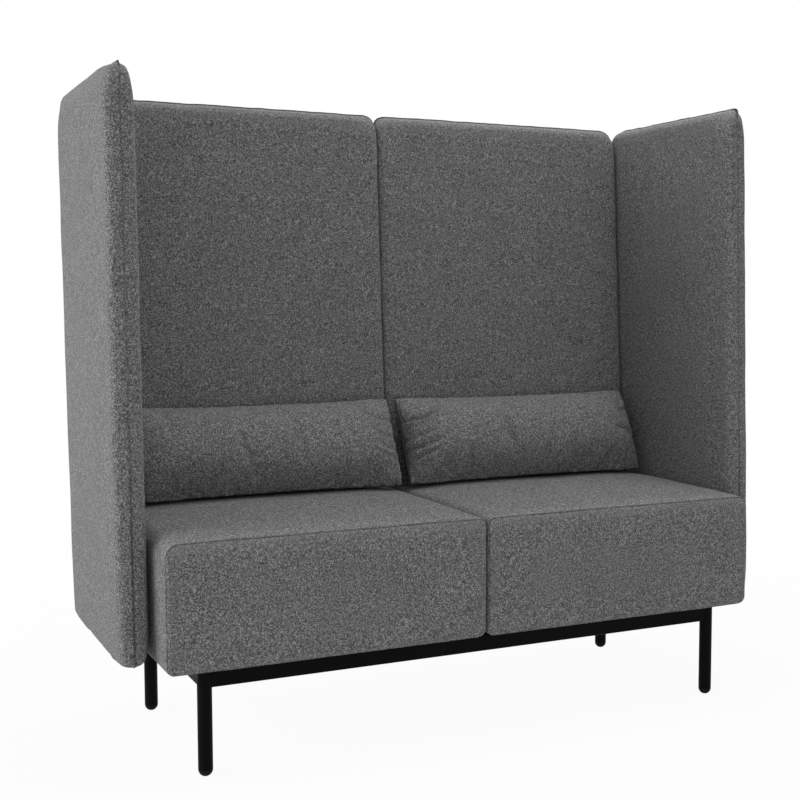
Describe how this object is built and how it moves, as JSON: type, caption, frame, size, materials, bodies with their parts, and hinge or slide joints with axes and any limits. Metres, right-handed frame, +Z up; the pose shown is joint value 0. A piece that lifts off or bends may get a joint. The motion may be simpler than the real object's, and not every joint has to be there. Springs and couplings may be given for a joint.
{
  "type": "high-back sofa",
  "caption": "Upholstered high-back sofa with side wings, block seats on a slim black steel frame with round legs, and loose lumbar cushions.",
  "frame": {"origin": "centre of the sofa's footprint, on the floor", "axes": "+X to the right as seen by a person facing the sofa, +Y towards the back, +Z up"},
  "size_m": [1.461, 0.6214, 1.322],
  "materials": {
    "fabric_grey": "heathered wool-like weave",
    "cushion_fabric": "heathered wool-like weave",
    "frame_steel": "satin black powder coat",
    "fastener_steel": "black zinc",
    "glide_plastic": "matt black",
    "plywood": "raw plywood"
  },
  "bodies": {
    "sofa": {"leg_front_left": "frame_steel", "glide_front_left": "glide_plastic", "leg_front_right": "frame_steel", "glide_front_right": "glide_plastic", "leg_rear_left": "frame_steel", "glide_rear_left": "glide_plastic", "leg_rear_right": "frame_steel", "glide_rear_right": "glide_plastic", "rail_front": "frame_steel", "rail_rear": "frame_steel", "rail_left": "frame_steel", "rail_right": "frame_steel", "rail_centre": "frame_steel", "seat_pad_left": "fabric_grey", "seat_board_left": "plywood", "back_pad_left": "fabric_grey", "back_board_left": "plywood", "wing_pad_left": "fabric_grey", "wing_board_left": "plywood", "wing_bracket_left_front": "frame_steel", "wing_bracket_left_rear": "frame_steel", "back_bracket_left_inner": "frame_steel", "back_bracket_left_outer": "frame_steel", "seat_pad_right": "fabric_grey", "seat_board_right": "plywood", "back_pad_right": "fabric_grey", "back_board_right": "plywood", "wing_pad_right": "fabric_grey", "wing_board_right": "plywood", "wing_bracket_right_front": "frame_steel", "wing_bracket_right_rear": "frame_steel", "back_bracket_right_inner": "frame_steel", "back_bracket_right_outer": "frame_steel", "wing_bolt_left_front": "fastener_steel", "seat_screw_left_front_inner": "fastener_steel", "seat_screw_left_front_outer": "fastener_steel", "wing_bolt_left_rear": "fastener_steel", "seat_screw_left_rear_inner": "fastener_steel", "seat_screw_left_rear_outer": "fastener_steel", "wing_bolt_right_front": "fastener_steel", "seat_screw_right_front_inner": "fastener_steel", "seat_screw_right_front_outer": "fastener_steel", "wing_bolt_right_rear": "fastener_steel", "seat_screw_right_rear_inner": "fastener_steel", "seat_screw_right_rear_outer": "fastener_steel"},
    "cushion_left": {"cushion_left": "cushion_fabric"},
    "cushion_right": {"cushion_right": "cushion_fabric"}
  },
  "joints": [
    {"name": "cushion_left_lift", "type": "slide", "parent": "sofa", "child": "cushion_left", "axis": [0, -0.866, 0.5], "range_m": [0, 0.6]},
    {"name": "cushion_right_lift", "type": "slide", "parent": "sofa", "child": "cushion_right", "axis": [0, -0.866, 0.5], "range_m": [0, 0.6]}
  ]
}
